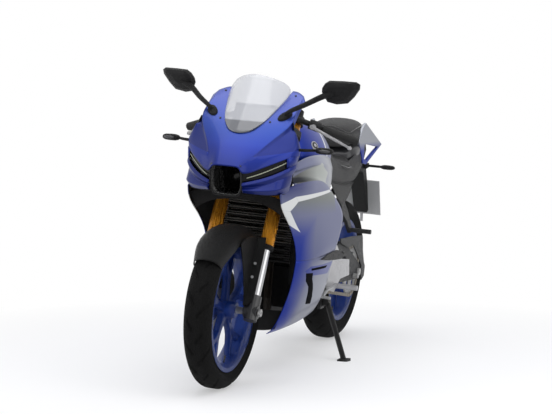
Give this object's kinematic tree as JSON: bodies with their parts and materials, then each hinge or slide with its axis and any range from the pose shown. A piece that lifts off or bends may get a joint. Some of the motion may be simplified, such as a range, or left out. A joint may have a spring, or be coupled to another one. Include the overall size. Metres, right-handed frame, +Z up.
{
  "type": "sport motorcycle",
  "caption": "Fully faired sport motorcycle leaning on its side stand, with clip-on bars, gold fork, blue cast wheels and a chain drive.",
  "frame": {"origin": "Middle of the parked machine's bounding box, on the ground.", "axes": "+Y runs rearward along the machine, +Z is up from the ground, +X is to the rider's left; the machine leans to its left on its side stand."},
  "size_m": [0.7752, 2.1212, 1.1799],
  "materials": {
    "frame_black": "satin black paint",
    "engine_grey": "dark grey cast case with machined edges",
    "radiator_black": "black finned core",
    "blue_paint": "metallic blue with clear coat",
    "smoke_screen": "smoke grey clear sheet",
    "lamp_lens": "dark clear lens",
    "black_plastic": "fine-grained black",
    "signal_lens": "smoke lens in a black shell",
    "tank_blue": "metallic blue with clear coat",
    "silver_panel": "light grey metallic",
    "seat_cover": "dark grey grained cover",
    "dark_panel": "dark grey satin",
    "tail_lens": "red lens",
    "plate_blank": "blank light grey",
    "exhaust_steel": "heat-tinted steel",
    "muffler_black": "matt black can",
    "swingarm_grey": "dark grey satin",
    "spring_steel": "black spring",
    "chain_steel": "oiled steel",
    "bracket_silver": "satin cast",
    "bracket_grey": "dark satin cast",
    "caliper_black": "black",
    "axle_steel": "zinc plated",
    "fork_gold": "gold anodised",
    "fork_chrome": "hard chrome",
    "clamp_grey": "dark satin cast",
    "bar_black": "black",
    "grip_rubber": "ribbed",
    "lever_silver": "polished",
    "fender_black": "satin black",
    "wheel_blue": "gloss blue",
    "tyre": "black rubber",
    "disc_steel": "ground steel",
    "sprocket_steel": "steel",
    "cap_alloy": "brushed"
  },
  "bodies": {
    "chassis": {"frame": "frame_black", "subframe": "frame_black", "pivot_plates": "frame_black", "engine": "engine_grey", "radiator": "radiator_black", "front_cowl": "blue_paint", "windscreen": "smoke_screen", "headlamps": "lamp_lens", "intake_duct": "black_plastic", "dash": "black_plastic", "side_cowl_left": "blue_paint", "side_cowl_right": "blue_paint", "lower_cowl_left": "blue_paint", "lower_cowl_right": "blue_paint", "mirrors": "black_plastic", "turn_signals": "signal_lens", "fuel_tank": "tank_blue", "tank_sides": "silver_panel", "rider_seat": "seat_cover", "pillion_seat": "seat_cover", "tail_cowl": "dark_panel", "tail_light": "tail_lens", "plate_holder": "black_plastic", "number_plate": "plate_blank", "exhaust_header": "exhaust_steel", "muffler": "muffler_black", "swingarm": "swingarm_grey", "swingarm_left": "swingarm_grey", "swingarm_right": "swingarm_grey", "stand_spools": "axle_steel", "rear_shock": "spring_steel", "chain": "chain_steel", "footpegs": "bracket_silver", "passenger_hangers": "bracket_grey", "rear_caliper": "caliper_black", "rear_axle": "axle_steel"},
    "steering": {"fork_outers": "fork_gold", "fork_legs": "fork_chrome", "triple_clamps": "clamp_grey", "clip_ons": "bar_black", "grips": "grip_rubber", "levers": "lever_silver", "front_fender": "fender_black", "front_axle": "axle_steel", "front_caliper": "caliper_black"},
    "front_wheel": {"front_rim": "wheel_blue", "front_tyre": "tyre", "front_disc": "disc_steel"},
    "rear_wheel": {"rear_rim": "wheel_blue", "rear_tyre": "tyre", "rear_disc": "disc_steel", "rear_sprocket": "sprocket_steel"},
    "side_stand": {"side_stand": "frame_black"},
    "fuel_cap": {"fuel_cap": "cap_alloy"}
  },
  "joints": [
    {"name": "steering", "type": "hinge", "parent": "chassis", "child": "steering", "pos_m": [-0.02465, -0.46632, 0.84813], "axis": [0.0768, 0.4226, 0.903], "range_deg": [-34, 34]},
    {"name": "front_wheel", "type": "hinge", "parent": "steering", "child": "front_wheel", "pos_m": [-0.07184, -0.76765, 0.29313], "axis": [0.9964, 0, -0.0847], "continuous": true},
    {"name": "rear_wheel", "type": "hinge", "parent": "chassis", "child": "rear_wheel", "pos_m": [-0.07007, 0.61235, 0.31406], "axis": [0.9964, 0, -0.0847], "continuous": true},
    {"name": "side_stand", "type": "hinge", "parent": "chassis", "child": "side_stand", "pos_m": [0.05137, 0.04028, 0.22545], "axis": [0.9586, 0, 0.2847], "range_deg": [0, 100]},
    {"name": "fuel_cap", "type": "hinge", "parent": "chassis", "child": "fuel_cap", "pos_m": [-0.01247, -0.24572, 0.99141], "axis": [0.9964, 0, -0.0847], "range_deg": [0, 100]}
  ]
}
